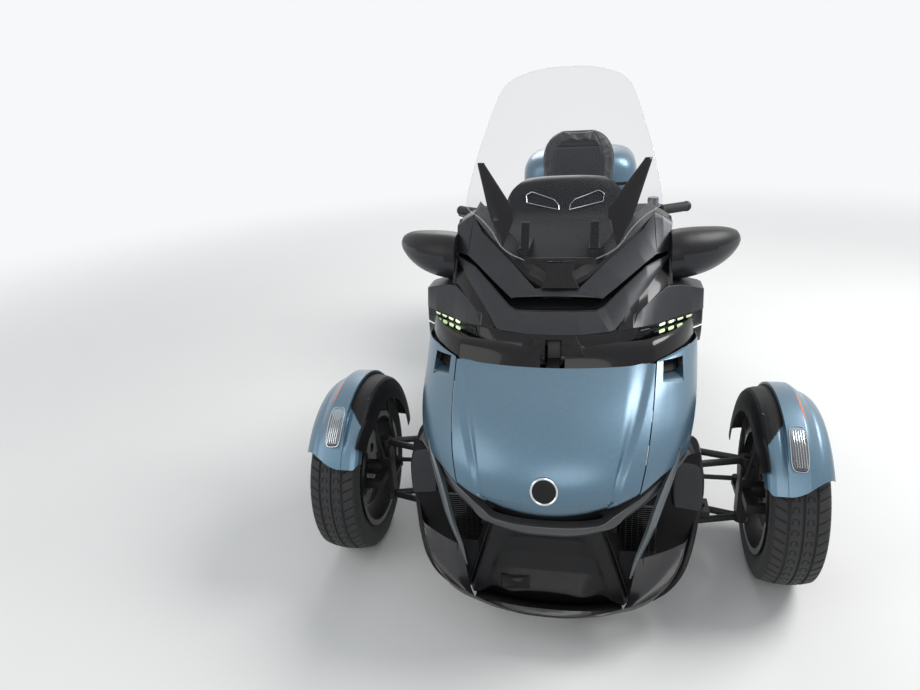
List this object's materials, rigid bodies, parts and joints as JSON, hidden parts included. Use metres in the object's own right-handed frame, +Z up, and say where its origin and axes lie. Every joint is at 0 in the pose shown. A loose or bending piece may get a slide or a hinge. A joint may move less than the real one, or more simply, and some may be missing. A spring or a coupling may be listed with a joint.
{
  "type": "motorized trike",
  "caption": "Three-wheeled touring roadster: steered front wheels under fenders, driven rear wheel, windscreen, seat with backrest and hinged luggage cases.",
  "frame": {"origin": "on the ground under the middle of the overall length and width", "axes": "+Z up, -Y towards the nose, +X towards the rider's left"},
  "size_m": [1.5452, 2.8329, 1.552],
  "materials": {
    "tyre": "ribbed road rubber",
    "wheel_alloy": "satin black cast alloy",
    "frame_steel": "satin black powder coat",
    "suspension_steel": "satin black",
    "engine_alloy": "dull cast alloy",
    "body_blue": "metallic petrol blue, clear coat",
    "cowl_grey": "dark grey metallic",
    "black_plastic": "fine-grained black",
    "gloss_black": "gloss black",
    "blade_metal": "satin grey",
    "smoke_plastic": "smoked, glossy",
    "lamp_lens": "clear lens",
    "red_lens": "red lens",
    "screen_glass": "clear polycarbonate",
    "mirror_face": "polished",
    "seat_leather": "black grained cover",
    "belt_rubber": "toothed rubber belt",
    "exhaust_metal": "satin steel"
  },
  "bodies": {
    "chassis": {"frame": "frame_steel", "engine_block": "engine_alloy", "wishbones": "suspension_steel", "front_dampers": "suspension_steel", "swingarm": "suspension_steel", "rear_axle": "suspension_steel", "rear_damper": "suspension_steel", "drive_belt": "belt_rubber", "bumper": "black_plastic", "splitter": "smoke_plastic", "fangs": "blade_metal", "radiators": "black_plastic", "front_boot": "black_plastic", "nose_sides": "body_blue", "cowl": "cowl_grey", "light_band": "gloss_black", "lamp_pods": "cowl_grey", "headlamps": "lamp_lens", "windscreen": "screen_glass", "screen_mount": "black_plastic", "screen_blades": "gloss_black", "instrument_pod": "black_plastic", "console": "black_plastic", "mirror_pods": "cowl_grey", "mirror_glass": "mirror_face", "side_fairings": "body_blue", "footboards": "black_plastic", "seat_pan": "black_plastic", "seat": "seat_leather", "passenger_backrest": "seat_leather", "backrest_plate": "black_plastic", "top_case": "body_blue", "side_cases": "body_blue", "tail_fairing": "black_plastic", "tail_lamps": "red_lens", "rear_fender": "black_plastic", "exhaust": "exhaust_metal"},
    "hood_body": {"hood": "body_blue"},
    "top_lid_body": {"top_case_lid": "body_blue"},
    "door_left_body": {"side_case_door_left": "body_blue"},
    "door_right_body": {"side_case_door_right": "body_blue"},
    "steering_bar": {"handlebar": "suspension_steel"},
    "pitman": {"pitman_arm": "suspension_steel"},
    "rod_left": {"tie_rod_left": "suspension_steel"},
    "rod_right": {"tie_rod_right": "suspension_steel"},
    "upright_left": {"knuckle_left": "suspension_steel", "fender_left": "body_blue", "fender_lamp_left": "lamp_lens"},
    "upright_right": {"knuckle_right": "suspension_steel", "fender_right": "body_blue", "fender_lamp_right": "lamp_lens"},
    "front_left_wheel": {"front_wheel_left": "wheel_alloy", "front_tyre_left": "tyre"},
    "front_right_wheel": {"front_wheel_right": "wheel_alloy", "front_tyre_right": "tyre"},
    "back_wheel": {"rear_wheel": "wheel_alloy", "rear_tyre": "tyre", "rear_sprocket": "suspension_steel"}
  },
  "joints": [
    {"name": "steering", "type": "hinge", "parent": "chassis", "child": "steering_bar", "pos_m": [0, -0.5725, 0.56], "axis": [0, 0.5, 0.866], "range_deg": [-30, 30]},
    {"name": "pitman_turn", "type": "hinge", "parent": "chassis", "child": "pitman", "pos_m": [0, -0.9405, 0.228], "axis": [0, 0, 1], "range_deg": [-27, 27]},
    {"name": "kingpin_left", "type": "hinge", "parent": "chassis", "child": "upright_left", "pos_m": [0.586, -0.9405, 0.281], "axis": [0, 0, 1], "range_deg": [-27, 27]},
    {"name": "tie_rod_left_turn", "type": "hinge", "parent": "upright_left", "child": "rod_left", "pos_m": [0.586, -0.8255, 0.244], "axis": [0, 0, 1], "range_deg": [-27, 27]},
    {"name": "front_wheel_left_spin", "type": "hinge", "parent": "upright_left", "child": "front_left_wheel", "pos_m": [0.69, -0.9405, 0.281], "axis": [1, 0, 0], "continuous": true},
    {"name": "kingpin_right", "type": "hinge", "parent": "chassis", "child": "upright_right", "pos_m": [-0.586, -0.9405, 0.281], "axis": [0, 0, 1], "range_deg": [-27, 27]},
    {"name": "tie_rod_right_turn", "type": "hinge", "parent": "upright_right", "child": "rod_right", "pos_m": [-0.586, -0.8255, 0.244], "axis": [0, 0, 1], "range_deg": [-27, 27]},
    {"name": "front_wheel_right_spin", "type": "hinge", "parent": "upright_right", "child": "front_right_wheel", "pos_m": [-0.69, -0.9405, 0.281], "axis": [1, 0, 0], "continuous": true},
    {"name": "rear_wheel_spin", "type": "hinge", "parent": "chassis", "child": "back_wheel", "pos_m": [0, 0.7735, 0.303], "axis": [1, 0, 0], "continuous": true},
    {"name": "hood_hinge", "type": "hinge", "parent": "chassis", "child": "hood_body", "pos_m": [0, -1.0005, 0.8], "axis": [-1, 0, 0], "range_deg": [0, 60]},
    {"name": "top_lid_hinge", "type": "hinge", "parent": "chassis", "child": "top_lid_body", "pos_m": [0.309, 1.0095, 0.975], "axis": [0, 1, 0], "range_deg": [0, 75]},
    {"name": "door_left_hinge", "type": "hinge", "parent": "chassis", "child": "door_left_body", "pos_m": [0.43, 0.8595, 0.404], "axis": [0, 1, 0], "range_deg": [0, 60]},
    {"name": "door_right_hinge", "type": "hinge", "parent": "chassis", "child": "door_right_body", "pos_m": [-0.43, 0.8595, 0.404], "axis": [0, -1, 0], "range_deg": [0, 60]}
  ],
  "couplings": [
    {"joint": "pitman_turn", "follows": "steering", "ratio": 0.9},
    {"joint": "kingpin_left", "follows": "steering", "ratio": 0.9},
    {"joint": "kingpin_right", "follows": "steering", "ratio": 0.9},
    {"joint": "tie_rod_left_turn", "follows": "steering", "ratio": -0.9},
    {"joint": "tie_rod_right_turn", "follows": "steering", "ratio": -0.9}
  ]
}
